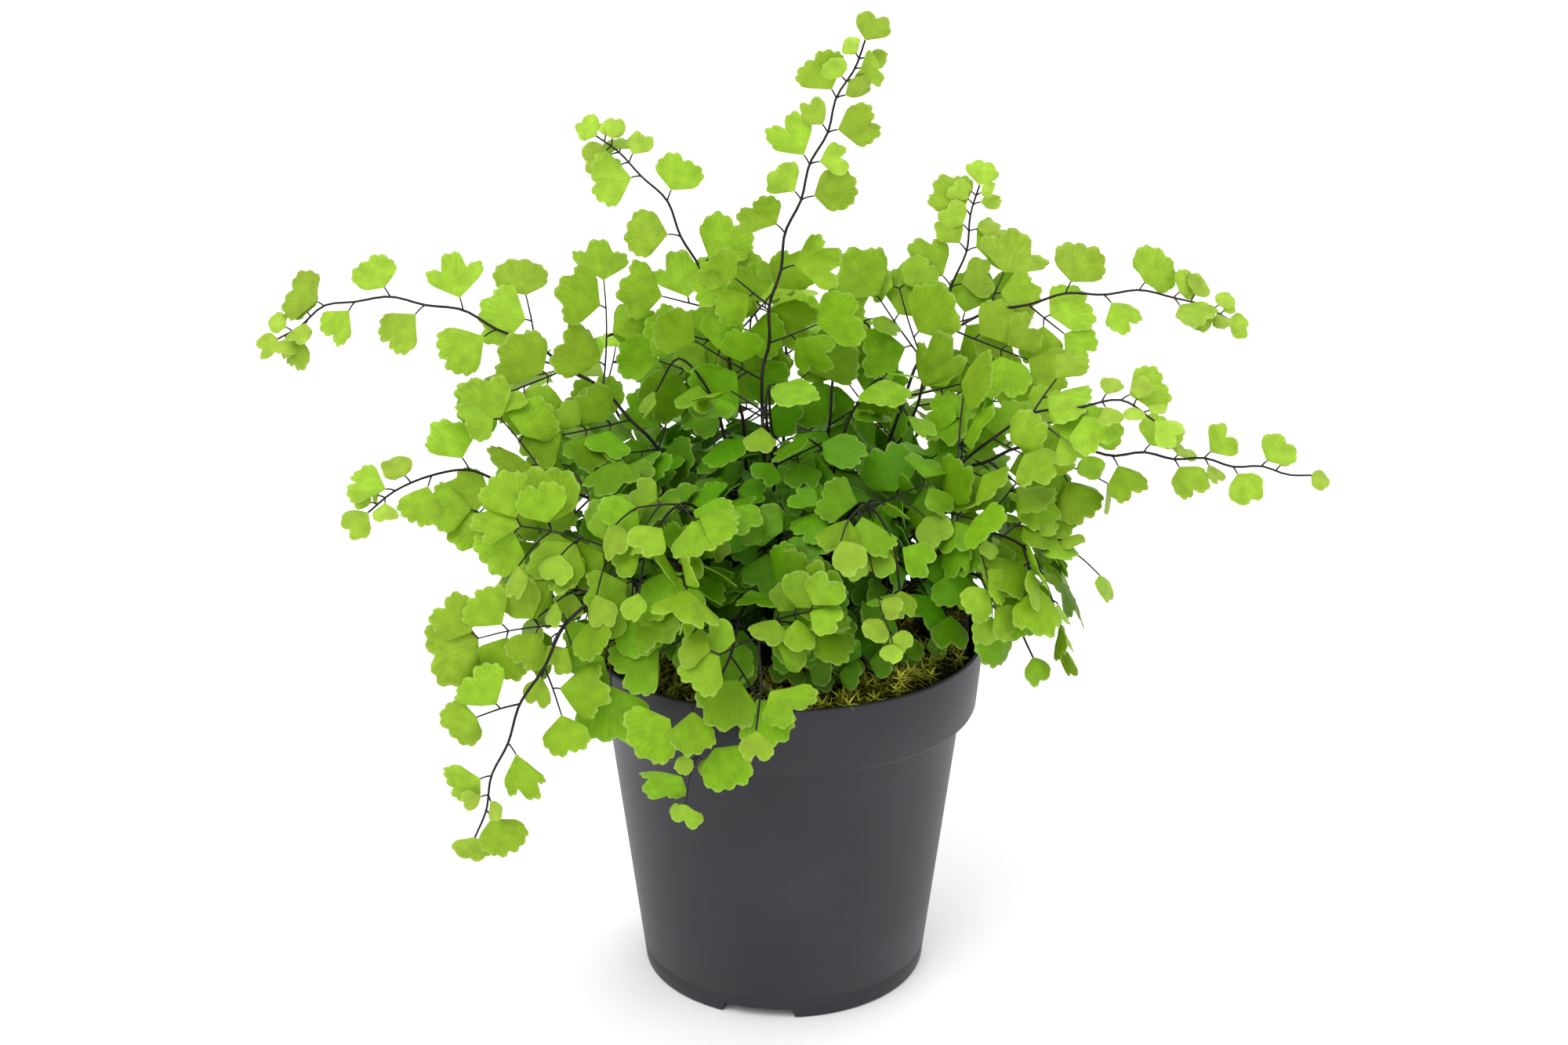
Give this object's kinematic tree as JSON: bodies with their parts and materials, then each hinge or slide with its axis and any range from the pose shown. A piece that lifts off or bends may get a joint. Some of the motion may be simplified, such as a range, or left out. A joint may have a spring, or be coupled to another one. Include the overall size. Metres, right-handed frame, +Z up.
{
  "type": "potted maidenhair fern",
  "caption": "Maidenhair fern with arching wiry fronds of fan-shaped leaflets, rooted in moss and soil in a plain dark plastic nursery pot.",
  "frame": {"origin": "on the floor under the plant, on the pot's axis", "axes": "+Z up along the pot's axis, -Y towards the front of the picture, +X to its right, the way that the fronds spread widest"},
  "size_m": [0.3087, 0.1741, 0.2888],
  "materials": {
    "pot_plastic": "smooth matt moulded plastic",
    "potting_soil": "crumbly damp peat soil",
    "moss_mat": "rough mat of short moss shoots",
    "rhizome_bark": "dry scaly brown stem",
    "fern_leaf": "thin matt green leaf"
  },
  "bodies": {
    "root": {"frond_back": "fern_leaf", "frond_back_left": "fern_leaf", "frond_back_right": "fern_leaf", "frond_front": "fern_leaf", "frond_front_left": "fern_leaf", "frond_inner_1": "fern_leaf", "frond_inner_2": "fern_leaf", "frond_inner_3": "fern_leaf", "frond_inner_4": "fern_leaf", "frond_inner_5": "fern_leaf", "frond_left": "fern_leaf", "frond_low_right": "fern_leaf", "frond_lower_left": "fern_leaf", "frond_lower_right": "fern_leaf", "frond_middle_1": "fern_leaf", "frond_middle_2": "fern_leaf", "frond_middle_3": "fern_leaf", "frond_middle_4": "fern_leaf", "frond_middle_5": "fern_leaf", "frond_middle_6": "fern_leaf", "frond_middle_right": "fern_leaf", "frond_outer_1": "fern_leaf", "frond_outer_2": "fern_leaf", "frond_outer_3": "fern_leaf", "frond_outer_4": "fern_leaf", "frond_outer_5": "fern_leaf", "frond_outer_6": "fern_leaf", "frond_outer_7": "fern_leaf", "frond_right": "fern_leaf", "frond_top": "fern_leaf", "frond_upper_left": "fern_leaf", "frond_upper_right": "fern_leaf", "moss": "moss_mat", "pot": "pot_plastic", "rhizome": "rhizome_bark", "soil": "potting_soil"}
  },
  "joints": []
}
